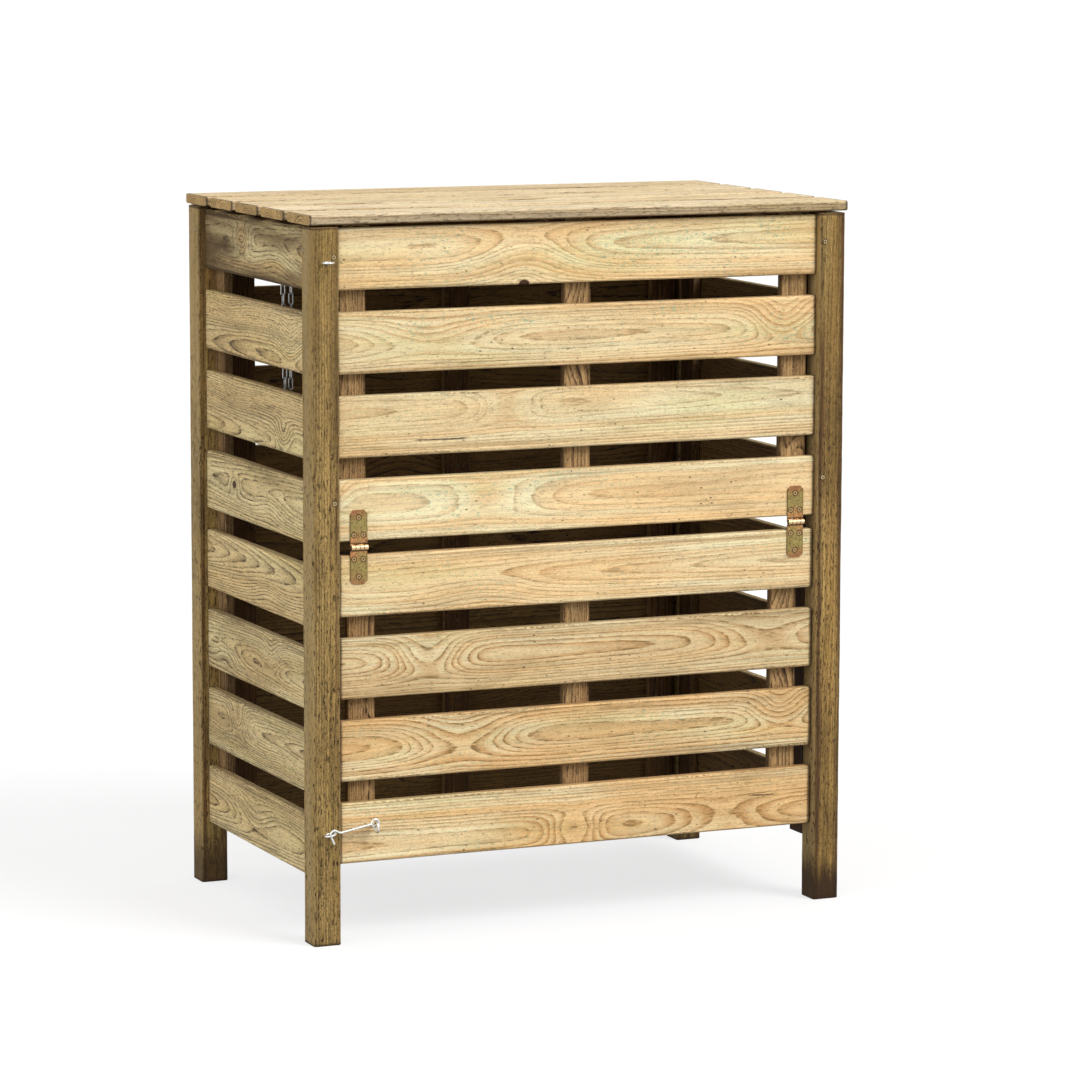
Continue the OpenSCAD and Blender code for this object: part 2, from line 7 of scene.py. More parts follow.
import bpy
import numpy as np
from mathutils import Matrix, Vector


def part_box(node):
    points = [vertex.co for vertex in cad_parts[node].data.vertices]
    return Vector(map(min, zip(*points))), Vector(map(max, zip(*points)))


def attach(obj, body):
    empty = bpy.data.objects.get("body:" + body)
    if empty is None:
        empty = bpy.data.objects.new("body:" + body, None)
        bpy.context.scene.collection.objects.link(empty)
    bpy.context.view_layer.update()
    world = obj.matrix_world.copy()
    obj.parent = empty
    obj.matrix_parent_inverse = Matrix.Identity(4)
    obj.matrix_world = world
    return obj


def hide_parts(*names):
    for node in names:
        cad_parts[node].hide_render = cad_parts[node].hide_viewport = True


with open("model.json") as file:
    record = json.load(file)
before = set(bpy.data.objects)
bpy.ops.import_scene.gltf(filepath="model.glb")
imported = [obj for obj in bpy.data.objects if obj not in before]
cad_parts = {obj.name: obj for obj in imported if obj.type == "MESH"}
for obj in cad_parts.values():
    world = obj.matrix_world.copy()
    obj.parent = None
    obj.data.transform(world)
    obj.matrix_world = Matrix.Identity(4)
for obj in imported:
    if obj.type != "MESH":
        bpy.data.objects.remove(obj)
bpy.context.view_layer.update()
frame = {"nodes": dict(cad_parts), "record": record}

# The camera stands where the photograph was taken from
CAMERA_AT = (-2.927, -6.727, 1.607)
CAMERA_TURN = 23.83      # degrees towards +X
CAMERA_DOWN = 8.05       # degrees
CAMERA_ROLL = 0.148      # degrees
CAMERA_LENS = 154.08     # millimetres
CAMERA_SENSOR = 36.0     # millimetres

# Light: an even sky, a soft sun from the front right and a faint one from the left
SKY = 0.62
SUN = 1.80
SUN_FROM = (0.42, -0.62, 0.66)
SUN_SOFTNESS = 30        # degrees
FILL = 0.80
FILL_FROM = (-0.85, -0.38, 0.36)
FILL_SOFTNESS = 60       # degrees
FLOOR_GREY = 0.3
FLOOR_GLOW = 0.72        # on top of the light that falls on the floor, so that it looks white
FLOOR_REACH = 60.0

BEHAVIOUR = frame["record"]["behaviour"]
BODY_OF = {node: body for body, nodes in BEHAVIOUR["bodies"].items() for node in nodes}
PIN_OF = {joint["name"]: joint["pos_m"] for joint in BEHAVIOUR["joints"]}


def paint(red, green, blue):
    """A colour given as it looks on screen, 0 to 255, as the linear colour that a shader takes."""
    c = np.array([red, green, blue]) / 255.0
    lin = np.where(c <= 0.04045, c / 12.92, ((c + 0.055) / 1.055) ** 2.4)
    return (*map(float, lin), 1.0)


class Value:
    """An output of a node, to calculate with: each sign adds the node that does it."""

    def __init__(self, wires, socket):
        self.wires = wires
        self.socket = socket

    def __add__(self, other):
        return self.wires.math("ADD", self, other)

    def __sub__(self, other):
        return self.wires.math("SUBTRACT", self, other)

    def __rsub__(self, other):
        return self.wires.math("SUBTRACT", other, self)

    def __mul__(self, other):
        return self.wires.math("MULTIPLY", self, other)

    def __truediv__(self, other):
        return self.wires.math("DIVIDE", self, other)

    def __abs__(self):
        return self.wires.math("ABSOLUTE", self)

    def clamped(self):
        """The same value, kept between 0 and 1."""
        self.socket.node.use_clamp = True
        return self


class Wiring:
    """Adds nodes to a tree and links them: any input may be a number, a colour or a Value."""

    def __init__(self, tree):
        self.tree = tree

    def node(self, kind, **settings):
        made = self.tree.nodes.new(kind)
        for name, value in settings.items():
            setattr(made, name, value)
        return made

    def feed(self, socket, value):
        if isinstance(value, Value):
            self.tree.links.new(value.socket, socket)
        else:
            socket.default_value = value

    def output(self, kind, name, **settings):
        """The output of that name of a new node."""
        return Value(self, self.node(kind, **settings).outputs[name])

    def attribute(self, name):
        return self.output("ShaderNodeAttribute", "Vector", attribute_name=name)

    def object_place(self):
        return self.output("ShaderNodeTexCoord", "Object")

    def math(self, operation, a, b=0.0):
        made = self.node("ShaderNodeMath", operation=operation)
        self.feed(made.inputs[0], a)
        self.feed(made.inputs[1], b)
        return Value(self, made.outputs[0])

    def vector(self, operation, a, b):
        made = self.node("ShaderNodeVectorMath", operation=operation)
        self.feed(made.inputs[0], a)
        self.feed(made.inputs[1], b)
        return Value(self, made.outputs[0])

    def split(self, vector):
        made = self.node("ShaderNodeSeparateXYZ")
        self.feed(made.inputs[0], vector)
        return [Value(self, socket) for socket in made.outputs]

    def joined(self, x, y=0.0, z=0.0):
        made = self.node("ShaderNodeCombineXYZ")
        for socket, value in zip(made.inputs, (x, y, z)):
            self.feed(socket, value)
        return Value(self, made.outputs[0])

    def noise(self, at, along, across, detail=2.0, roughness=0.5):
        """Noise from 0 to 1, whose features are 1/along metres long and 1/across metres wide."""
        made = self.node("ShaderNodeTexNoise")
        self.feed(made.inputs["Vector"], self.vector("MULTIPLY", at, (along, across, across)))
        made.inputs["Scale"].default_value = 1.0
        made.inputs["Detail"].default_value = detail
        made.inputs["Roughness"].default_value = roughness
        return Value(self, made.outputs["Fac"])

    def dots(self, at, along, across, size, share):
        """Round dots, one in each cell that is chosen: 1 in the dot, 0 outside."""
        made = self.node("ShaderNodeTexVoronoi")
        self.feed(made.inputs["Vector"], self.vector("MULTIPLY", at, (along, across, across)))
        made.inputs["Scale"].default_value = 1.0
        dot = self.ramp(Value(self, made.outputs["Distance"]), size, size * 0.4)
        draw = self.split(Value(self, made.outputs["Color"]))[0]
        return dot * self.math("LESS_THAN", draw, share)

    def ramp(self, value, low, high, out_low=0.0, out_high=1.0):
        """A smooth step from out_low at low to out_high at high."""
        made = self.node("ShaderNodeMapRange", interpolation_type="SMOOTHSTEP")
        for socket, given in zip(made.inputs, (value, low, high, out_low, out_high)):
            self.feed(socket, given)
        return Value(self, made.outputs[0])

    def mix(self, share, a, b, blend="MIX"):
        made = self.node("ShaderNodeMix", data_type="RGBA", blend_type=blend)
        self.feed(made.inputs["Factor"], share)
        self.feed(made.inputs[6], a)
        self.feed(made.inputs[7], b)
        return Value(self, made.outputs[2])

    def times(self, colour, tint):
        """A colour multiplied by another."""
        return self.mix(1.0, colour, tint, "MULTIPLY")


def new_material(name):
    """An empty material, its wiring and its surface shader."""
    made = bpy.data.materials.new(name)
    made.use_nodes = True
    wires = Wiring(made.node_tree)
    return made, wires, made.node_tree.nodes["Principled BSDF"]


def bump(wires, shader, height, depth):
    """Relief of that depth in metres."""
    made = wires.node("ShaderNodeBump")
    made.inputs["Strength"].default_value = 1.0
    made.inputs["Distance"].default_value = depth
    wires.feed(made.inputs["Height"], height)
    wires.feed(shader.inputs["Normal"], Value(wires, made.outputs[0]))


# The first colour is painted shade with some dirt, for board ends and hinge knuckle seams
SHADE_AND_DIRT = paint(60, 42, 24)
FLECK = paint(62, 44, 24)
SALT = paint(122, 180, 152)
MOULD = paint(52, 38, 20)
CRACK = paint(48, 32, 18)
KNOT_HEART, KNOT_RIM = paint(92, 58, 36), paint(58, 34, 20)
END_PALE, END_PORE, END_RING = paint(244, 206, 140), paint(186, 146, 88), paint(74, 48, 24)
# These three darken the colour under them
COOL_TINT = paint(240, 246, 226)
# The tint for the inside is painted shade of the bin's inside, with some damp staining
FOOT_TINT = paint(94, 80, 66)
INSIDE_SHADE_AND_DAMP = paint(134, 116, 90)


@dataclass
class Wood:
    """A kind of sawn softwood. What has no unit is a strength or a share."""
    name: str
    pale: tuple          # colour of the early wood
    warm: tuple          # colour of its warmer stretches
    late: tuple          # colour of the late wood
    grime: tuple         # colour of dirt and of the sharp dark lines
    gap: float           # width of a ring, metres
    wander: float        # how far the rings stray slowly, metres
    ripple: float        # how far they stray in short waves, metres
    grain: float         # soft part of the late wood
    line: float          # sharp part of the late wood
    fine: float          # fibres
    dirt: float          # clouds of grime
    dots: float          # mould dots
    flecked: float       # resin flecks
    specks: float        # salt specks
    relief: float        # depth of the grain's relief, metres
    flank: tuple = None  # colour of a post's side faces
    streak_and_shade: tuple = None   # colour of a post's long corners: brown streaks and painted shade


class Board:
    """What a timber material reads of the board that it lies on, as planks() stores it, and the
    noises that several marks share."""

    def __init__(self, w):
        grain = w.attribute("grain")
        self.length, self.width, self.thick = w.split(grain)
        self.pith_depth, self.pith_across, self.slope = w.split(w.attribute("cut"))
        self.seed, self.tone, self.foul = w.split(w.attribute("mood"))
        self.salted, self.edging, self.warmth = w.split(w.attribute("wear"))
        self.margin, self.stub, self.inner = w.split(w.attribute("place"))
        self.turned = w.split(w.attribute("turned"))[0]
        self.force = w.split(w.attribute("force"))[0]
        apart = w.joined(self.seed * 3.1, self.seed * 1.7, self.seed * 2.3)
        self.at = w.vector("ADD", grain, apart)
        self.ripple = w.noise(self.at, 6, 30, 2.5) - 0.5
        self.fibre = w.noise(self.at, 12, 360, 4.0, 0.75)
        self.streak = w.noise(self.at, 2.6, 95, 3.0, 0.6)
        self.cloud = w.noise(self.at, 4.5, 19, 5.0, 0.62)
        self.blotch = w.noise(w.vector("ADD", self.at, (1.3, 8.1, 2.2)), 2.2, 11, 3.0, 0.55)


def bell(w, board, spot, stretch, fall, height):
    """How far a spot lifts the ring shells, height * size * exp(-fall * near^2), and near, the
    distance from it in sizes: the root of stretch * along^2 + aside^2, a little ragged."""
    spot_along, spot_across, size = spot
    size = w.math("MAXIMUM", abs(size), 0.0005)
    along = (board.length - spot_along) / size
    aside = (board.width - spot_across) / size
    ragged = (w.noise(board.at, 16, 34) - 0.5) * 0.36
    near = w.math("SQRT", along * (along * stretch) + aside * aside) + ragged
    return w.math("EXPONENT", near * near * -fall) * (size * height), near


def ring_shells(w, board, wood):
    """Radius of the ring shell at a point: the root of depth^2 + across^2 from a pith line that
    lies beside the board, where depth is the distance below the face plus a slope along the
    board. Both wander with slow noise, and a knot and a swell lift the shells, so that the rings
    close round them. Also near, the distance from the knot, and core, 1 inside it."""
    knot = w.split(w.attribute("knot"))
    swell = w.split(w.attribute("swell"))
    knot_lift, near = bell(w, board, knot, 0.45, 0.22, 1.5)
    oval = w.math("LESS_THAN", swell[2], 0.0) * 0.25 + 0.13
    swell_lift, _ = bell(w, board, swell, oval, 0.5, 0.62)
    core = w.ramp(near, 1.0, 0.75) * w.math("GREATER_THAN", knot[2], 0.0006)
    sway = w.noise(board.at, 1.5, 6.5, 1.0) - 0.5
    drift = w.noise(w.vector("ADD", board.at, (7.0, 3.0, 5.0)), 2.4, 9, 1.0) - 0.5
    depth = board.thick + board.pith_depth + board.slope * board.length
    depth = depth + sway * (2.2 * wood.wander) + knot_lift + swell_lift
    across = board.width - board.pith_across + drift * (1.2 * wood.wander)
    radius = w.math("SQRT", depth * depth + across * across) + board.ripple * wood.ripple
    return radius, near, core


def late_wood(w, board, radius, gap):
    """The soft and the sharp part of each ring's dark side, and a tint that changes from shell to
    shell. A ring runs as the fraction of radius / gap, made uneven by a noise of the radius."""
    shell = w.joined(radius * 90.0 + board.seed * 5.0)
    phase = w.math("FRACT", radius / gap + w.noise(shell, 1, 1) * 2.2)
    strength = w.ramp(w.noise(shell, 0.45, 1, 1.0), 0.3, 0.7, 0.35, 1.0)
    strength = strength * w.ramp(w.noise(board.at, 8, 45, 3.0, 0.6), 0.36, 0.60, 0.5, 1.0)
    soft = w.ramp(phase, 0.30, 0.84) * w.ramp(phase, 1.0, 0.92) * strength
    broken = w.ramp(w.noise(board.at, 42, 240, 3.0, 0.7), 0.42, 0.58)
    sharp = w.ramp(phase, 0.70, 0.90) * w.ramp(phase, 1.0, 0.94) * broken
    tint = w.ramp(w.noise(shell, 0.7, 1, 1.0), 0.42, 0.6)
    return soft, sharp, tint


def clean_wood(w, board, wood, soft, sharp, tint):
    """Colour of the wood under its stains: pale to warm in patches and from shell to shell, a
    cooler cast here and there, the late wood, and the light and shade of the fibres."""
    colour = w.mix(w.ramp(board.blotch, 0.38, 0.66) * (board.warmth + 0.35), wood.pale, wood.warm)
    colour = w.mix(tint * (board.warmth * 0.9 + 0.25), colour, wood.warm)
    cool = w.noise(w.vector("ADD", board.at, (4.0, 2.0, 9.0)), 2.6, 17, 3.0, 0.6)
    colour = w.mix(w.ramp(cool, 0.48, 0.70) * 0.5, colour, w.times(colour, COOL_TINT))
    colour = w.mix((soft * (board.force * wood.grain)).clamped(), colour, wood.late)
    colour = w.mix((sharp * (board.force * wood.line)).clamped(), colour, wood.grime)
    mottle = w.noise(board.at, 260, 480, 3.0, 0.75)
    shade = (board.fibre - 0.5) * (wood.fine * 1.1) + (board.streak - 0.5) * (wood.fine * 0.7)
    shade = shade + (mottle - 0.5) * (wood.fine * 1.2) + board.tone + 1.0
    return w.times(colour, w.joined(shade, shade, shade))


def post_wood(w, board, wood, colour):
    """A post's side faces, the dark bands beside its long corners, brown streaks with painted shade
    where the boards meet them, and the darkening towards its foot.
    """
    flank = w.mix(w.ramp(board.streak, 0.35, 0.65), wood.flank, wood.pale)
    colour = w.mix(board.turned * 0.8, colour, flank)
    # Corner bands: painted shade where the boards meet the post, mixed with brown streaks
    corner = w.ramp(board.margin + board.ripple * 0.006, 0.013, 0.005) * (1.0 - board.turned)
    corner = corner * w.ramp(board.warmth, 0.0, 1.0, 0.4, 1.0)
    colour = w.mix(corner * w.ramp(board.streak, 0.34, 0.6) * 0.9, colour, wood.streak_and_shade)
    # Darker towards the foot
    ragged = (board.streak - 0.5) * 0.08 + (board.cloud - 0.5) * 0.10
    foot = w.ramp(board.length + ragged, -0.464, -0.522)
    return w.mix(foot * board.warmth, colour, w.times(colour, FOOT_TINT))


def foulness(w, board, dirt):
    """Share of grime: clouds, weathered streaks near the long edges, a spattered rim, patches."""
    rim = w.ramp(board.margin, 0.0065, 0.0018) * w.ramp(w.noise(board.at, 5, 5), 0.44, 0.60)
    rim = rim * w.ramp(w.noise(board.at, 170, 420, 3.0, 0.65), 0.46, 0.60)
    weather = w.ramp(w.noise(board.at, 2.2, 130, 4.0, 0.65), 0.50, 0.66)
    weather = weather * w.ramp(board.margin + board.blotch * 0.03, 0.042, 0.012)
    edging = board.edging * w.ramp(board.turned, 0.2, 0.9, 1.0, 0.15)
    clouds = w.ramp(board.cloud, 0.47, 0.74) * dirt
    patches = board.foul * w.ramp(board.blotch, 0.3, 0.62)
    return (clouds + weather * (edging * 0.7) + rim * edging * 0.9 + patches).clamped()


def small_marks(w, board, dots, specks):
    """Resin flecks, mould dots and salt specks, each as a share."""
    short_flecks = w.ramp(w.noise(board.at, 85, 400, 3.0, 0.6), 0.57, 0.65)
    long_flecks = w.ramp(w.noise(board.at, 48, 230, 3.0, 0.6), 0.62, 0.68)
    small_dots = w.dots(board.at, 95, 210, 0.2, dots * 0.7)
    mould = w.math("MAXIMUM", w.dots(board.at, 55, 105, 0.17, dots), small_dots)
    mould = mould * w.ramp(board.cloud, 0.38, 0.6, 0.25, 1.0)
    salt = w.ramp(w.noise(board.at, 150, 330, 3.0, 0.6), 0.57, 0.68)
    salt = salt * w.ramp(w.noise(board.at, 6, 16, 1.0), 0.48, 0.64)
    return w.math("MAXIMUM", short_flecks, long_flecks), mould, salt * specks * board.salted


def crack(w, board):
    """Share of a dark crack that runs along the grain and thins out towards its ends."""
    middle, across, half = w.split(w.attribute("crack"))
    stray = (w.noise(board.at, 26, 60, 3.0, 0.7) - 0.5) * 0.006
    off = abs(board.width - across + stray)
    run = abs(board.length - middle)
    return w.ramp(off, 0.0016, 0.0007) * w.ramp(run - half, 0.0, -0.02)


def sawn_end(w, board, colour, soft, sharp):
    """End grain with pores on the sawn ends, and a dark edge of painted shadow with some dirt on the
    faces beside them, where the board meets its neighbour.
    """
    pores = w.ramp(w.noise(board.at, 90, 700, 2.0, 0.7), 0.40, 0.62)
    lines = (w.math("MAXIMUM", soft, sharp) * 1.7).clamped()
    end_grain = w.mix(lines, w.mix(pores, END_PALE, END_PORE), END_RING)
    colour = w.mix(w.ramp(board.stub, 0.0004, 0.0001), colour, end_grain)
    # Painted contact shadow, with some dirt, on the faces next to each sawn end
    edge = w.ramp(board.stub + board.ripple * 0.004, 0.0055, 0.0015) * 0.8
    return w.mix(edge * w.ramp(board.stub, 0.0001, 0.0006), colour, SHADE_AND_DIRT)


def timber(wood):
    """Sawn softwood: rings that are shells round a pith, then stains, marks, a knot, a crack and
    the sawn ends, and a darker face towards the inside of the bin, painted shade with some damp staining."""
    made, w, shader = new_material(wood.name)
    board = Board(w)
    radius, near, core = ring_shells(w, board, wood)
    soft, sharp, tint = late_wood(w, board, radius, wood.gap)
    flecks, mould, salt = small_marks(w, board, wood.dots, wood.specks)
    colour = clean_wood(w, board, wood, soft, sharp, tint)
    flecked = wood.flecked
    if wood.flank:
        colour = post_wood(w, board, wood, colour)
        flecked = w.ramp(board.length, 0.5, 0.1, 0.4, 1.0) * flecked
    flecks = flecks * flecked
    colour = w.mix(foulness(w, board, wood.dirt), colour, wood.grime)
    colour = w.mix(flecks, colour, FLECK)
    colour = w.mix(salt, colour, SALT)
    colour = w.mix(mould * 0.85, colour, MOULD)
    colour = w.mix(core, colour, w.mix(w.ramp(near, 0.15, 0.8), KNOT_HEART, KNOT_RIM))
    colour = w.mix(crack(w, board) * 0.85, colour, CRACK)
    colour = sawn_end(w, board, colour, soft, sharp)
    # Painted shade, with some damp staining, on the faces turned into the bin
    colour = w.mix(board.inner, colour, w.times(colour, INSIDE_SHADE_AND_DAMP))
    w.feed(shader.inputs["Base Color"], colour)
    w.feed(shader.inputs["Roughness"], w.ramp(soft, 0.0, 1.0, 0.82, 0.66))
    shader.inputs["Specular IOR Level"].default_value = 0.28
    height = soft * 0.55 + board.fibre * 0.5 - w.math("MAXIMUM", mould, flecks) * 0.7
    bump(w, shader, height, wood.relief)
    return made


FRONT_PINE = timber(Wood(
    "front_pine", pale=paint(254, 240, 194), warm=paint(250, 208, 148), late=paint(212, 154, 90),
    grime=paint(130, 98, 50), gap=0.0042, wander=0.0042, ripple=0.0022, grain=0.72, line=0.54, fine=0.68,
    dirt=0.26, dots=0.26, flecked=0.26, specks=0.75, relief=0.0005))
SIDE_PINE = timber(Wood(
    "side_pine", pale=paint(252, 230, 174), warm=paint(238, 204, 144), late=paint(158, 126, 76),
    grime=paint(78, 58, 30), gap=0.0032, wander=0.0055, ripple=0.0042, grain=0.72, line=1.0, fine=1.0,
    dirt=0.30, dots=0.26, flecked=0.5, specks=0.1, relief=0.0009))
LID_PINE = timber(Wood(
    "lid_pine", pale=paint(250, 232, 196), warm=paint(236, 206, 156), late=paint(180, 142, 92),
    grime=paint(120, 92, 54), gap=0.0036, wander=0.004, ripple=0.0020, grain=0.72, line=0.70, fine=0.80,
    dirt=0.20, dots=0.12, flecked=0.55, specks=0.1, relief=0.0008))
POST_PINE = timber(Wood(
    "post_pine", pale=paint(178, 148, 90), warm=paint(154, 122, 68), late=paint(112, 86, 48),
    grime=paint(64, 46, 24), gap=0.0026, wander=0.002, ripple=0.0012, grain=0.56, line=0.75, fine=1.8,
    dirt=0.42, dots=0.7, flecked=1.0, specks=0.0, relief=0.0008, flank=paint(194, 168, 120),
    streak_and_shade=paint(80, 49, 30)))
BATTEN_PINE = timber(Wood(
    "batten_pine", pale=paint(196, 160, 110), warm=paint(174, 134, 86), late=paint(100, 70, 40),
    grime=paint(58, 38, 22), gap=0.0028, wander=0.003, ripple=0.0012, grain=0.85, line=1.0, fine=1.4,
    dirt=0.3, dots=0.1, flecked=0.55, specks=0.0, relief=0.0006))


X, Y, Z = 0, 1, 2
CHAMFER = 0.0007         # on the sawn ends
SINK = 0.0003            # the skin lies this far inside the CAD's faces
SLOW_WAVE = 0.00030
SHORT_WAVE = 0.00012
WEAR = 0.0005            # of the long edges, more or less by as much again


def waves(rng, u, v, across, turns, count=7):
    """Slow random waves on a grid: the mean of cosines of u, in metres, and of v, in turns round
    the board, each with its own length, turns and phase. The result stays between -1 and 1."""
    f = rng.uniform(*across, count)[:, None, None]
    m = rng.integers(0, turns + 1, count)[:, None, None]
    a = rng.uniform(0, 2 * math.pi, count)[:, None, None]
    return np.cos(2 * math.pi * (f * u + m * v) + a).mean(0)


def outline(w, t, r, arc=5, wide=7, thin=2, shoulder=0.0008):
    """Outline of a rectangle w by t with corners of radius r: four quarter circles joined by
    straight runs, with a point close to each arc. Gives places, outward normals and how much
    each point belongs to a corner."""
    a = np.linspace(0, math.pi / 2, arc)
    places, normals, corner = [], [], []
    for k, steps in enumerate((wide, thin, wide, thin)):
        n = np.stack([np.cos(a + k * math.pi / 2), np.sin(a + k * math.pi / 2)], 1)
        c = np.sign(n[arc // 2]) * (w / 2 - r, t / 2 - r)
        run = (w if k % 2 == 0 else t) - 2 * r
        f = np.concatenate([[shoulder / run], np.linspace(0, 1, steps + 2)[1:-1], [1 - shoulder / run]])
        step = np.array([-n[-1][1], n[-1][0]]) * run
        places += [c + n * r, c + n[-1] * r + f[:, None] * step]
        normals += [n, np.repeat(n[-1:], len(f), 0)]
        corner += [np.sin(2 * a), np.zeros(len(f))]
    return np.concatenate(places), np.concatenate(normals), np.concatenate(corner)


def plank_skin(low, high, along, across, stock, rng, inward):
    """Skin of one board as a grid of points, u along it and v round its outline: the outline is
    pushed along its normals by slow waves, its corners are worn by others, and both ends are
    chamfered. Gives the points, their place in the board (along, across and through), then
    distances from the long edge and from the sawn end and 1 on the face turned into the bin, and
    last how far each face is turned towards the board's edge."""
    low, high = np.array(low), np.array(high)
    through = 3 - along - across
    size, centre = high - low, (low + high) / 2
    places, normals, corner = outline(size[across], size[through], stock.edge)
    half = size[along] / 2
    n = max(int(size[along] / stock.step), 8)
    u = np.concatenate([[-half], np.linspace(-half + CHAMFER, half - CHAMFER, n), [half]])
    inset = np.where(np.abs(u) > half - CHAMFER / 2, CHAMFER, 0.0)[:, None]
    v = np.linspace(0, 1, len(places), endpoint=False)
    uu, vv = u[:, None] + 0 * v, v + 0 * u[:, None]
    push = SLOW_WAVE * waves(rng, uu, vv, (1, 5), 2) + SHORT_WAVE * waves(rng, uu, vv, (12, 45), 6)
    worn = corner * (WEAR + WEAR * waves(rng, uu, vv, (3, 22), 5))
    section = places[None] + normals[None] * (push - SINK - worn - inset)[..., None]
    points = np.zeros((len(u), len(v), 3))
    points[..., along] = uu
    points[..., across] = section[..., 0]
    points[..., through] = section[..., 1]
    inside = np.stack([points[..., along], points[..., across], points[..., through]], -1)
    margin = size[across] / 2 - np.abs(points[..., across])
    stub = half - np.abs(uu)
    facing = np.where(stub > 0, 0.5 + 0.5 * np.sign(inward) * normals[:, 1], 0) if inward else 0 * uu
    place = np.stack([margin, stub, facing], -1)
    turned = np.stack([np.where(stub > 0, np.abs(normals[:, 0]), 0), 0 * uu, 0 * uu], -1)
    return points + centre, inside, place, turned


def new_mesh(name, points, loops, starts, smooth):
    """A mesh from its points, the corners of its faces in a row, and where each face starts."""
    mesh = bpy.data.meshes.new(name)
    mesh.vertices.add(len(points))
    mesh.vertices.foreach_set("co", points.astype(np.float32).ravel())
    mesh.loops.add(len(loops))
    mesh.loops.foreach_set("vertex_index", loops.astype(np.int32))
    mesh.polygons.add(len(starts))
    mesh.polygons.foreach_set("loop_start", starts.astype(np.int32))
    mesh.polygons.foreach_set("use_smooth", smooth)
    mesh.update(calc_edges=True)
    return mesh


def mesh_of_tubes(name, skins):
    """One mesh from closed tubes of points: quads between neighbouring rings and a flat face on
    each end."""
    points, loops, starts, smooth = [], [], [], []
    base = at = 0
    for skin in skins:
        n, m = skin.shape[:2]
        ring = np.arange(n * m).reshape(n, m) + base
        nxt = np.roll(ring, -1, 1)
        quads = np.stack([ring[:-1], nxt[:-1], nxt[1:], ring[1:]], -1).reshape(-1)
        points.append(skin.reshape(-1, 3))
        loops += [quads, ring[0][::-1], ring[-1]]
        quad_count = (n - 1) * m
        starts.append(at + 4 * np.arange(quad_count))
        starts.append(np.array([at + 4 * quad_count, at + 4 * quad_count + m]))
        smooth += [np.ones(quad_count, bool), np.zeros(2, bool)]
        base += n * m
        at += 4 * quad_count + 2 * m
    return new_mesh(name, *(np.concatenate(part) for part in (points, loops, starts, smooth)))


def put_vectors(mesh, name, values):
    made = mesh.attributes.new(name, "FLOAT_VECTOR", "POINT")
    made.data.foreach_set("vector", np.asarray(values, np.float32).ravel())


def new_piece(name, mesh, material):
    """An object in the scene for the mesh."""
    mesh.materials.append(material)
    piece = bpy.data.objects.new(name, mesh)
    bpy.context.scene.collection.objects.link(piece)
    return piece


@dataclass
class Stock:
    """How the boards of one kind are dressed."""
    material: bpy.types.Material
    slot: str
    edge: float          # radius of the long edges
    step: float          # spacing of the skin's rings


FRONT_BOARD = Stock(FRONT_PINE, "front_wood", 0.003, 0.006)
SIDE_BOARD = Stock(SIDE_PINE, "side_wood", 0.003, 0.006)
BACK_BOARD = Stock(SIDE_PINE, "side_wood", 0.003, 0.010)
LID_BOARD = Stock(LID_PINE, "lid_wood", 0.003, 0.006)
POST = Stock(POST_PINE, "post_wood", 0.004, 0.008)
BATTEN = Stock(BATTEN_PINE, "batten_wood", 0.002, 0.012)
BOARD_WIDTH = 0.095
BATTEN_WIDTH = 0.045
LOOK_KEYS = ("cut", "knot", "swell", "mood", "wear", "crack", "force")


def planks(node, boards, along, across, stock, inward=0):
    """A piece of one or more boards that stands for a CAD node. Each board is its lowest and
    highest corner, and its look. inward is the sign of the way into the bin, through the board."""
    skins = []
    kept = {key: [] for key in ("grain", "place", "turned") + LOOK_KEYS}
    for low, high, seen in boards:
        rng = np.random.default_rng(int(seen["mood"][0] * 100) + 7)
        grids = plank_skin(low, high, along, across, stock, rng, inward)
        if (across - along) % 3 != 1:
            # Along, across and through are a left-handed set of axes, so the outline runs the other way
            grids = [grid[:, ::-1] for grid in grids]
        skin, *stored = grids
        skins.append(skin)
        for key, grid in zip(("grain", "place", "turned"), stored):
            kept[key].append(grid.reshape(-1, 3))
        for key in LOOK_KEYS:
            kept[key].append(np.tile(seen[key], (skin.shape[0] * skin.shape[1], 1)))
    name = "timber_" + node
    mesh = mesh_of_tubes(name, skins)
    for key, values in kept.items():
        put_vectors(mesh, key, np.concatenate(values))
    piece = new_piece(name, mesh, stock.material)
    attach(piece, BODY_OF[node])
    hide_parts(node)


def one_board(node, seen, along, across, stock, inward=0):
    """A board or post that fills the box of its node."""
    low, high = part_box(node)
    planks(node, [(low, high, seen)], along, across, stock, inward)


def board_row(node, seed, count, width, along, across, stock, inward, tone=0.0):
    """The equal boards of a node that holds a row of them, side by side over the node's box."""
    low, high = (np.array(corner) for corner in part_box(node))
    boards = []
    for k in range(count):
        a, b = low.copy(), high.copy()
        a[across] = low[across] + k * (high[across] - low[across] - width) / (count - 1)
        b[across] = a[across] + width
        boards.append((a, b, any_look(seed + k, tone)))
    planks(node, boards, along, across, stock, inward)


def look(depth, across, slope, seed, tone=0.0, foul=0.0, knot=(0, 0, 0), swell=(0, 0, 0),
         wear=(0.5, 0.6, 0.3), crack=(0, 0, -90), force=1.0):
    """How one board was cut and how it has aged. depth, across and slope place the pith, in
    millimetres and millimetres per metre; a knot or a swell is its place along and across and
    its size in millimetres, a knot's negative where only the grain swirls round it and a swell's
    where it is round rather than long; wear is how salty, how dirty along its edges and how warm
    the board is; a crack is its middle along and across and half its length; force is how
    strongly the rings show."""
    return {"cut": (depth / 1000, across / 1000, slope / 1000), "mood": (seed, tone, foul), "wear": wear,
            "knot": tuple(k / 1000 for k in knot), "swell": tuple(k / 1000 for k in swell),
            "crack": tuple(k / 1000 for k in crack), "force": (force, 0.0, 0.0)}


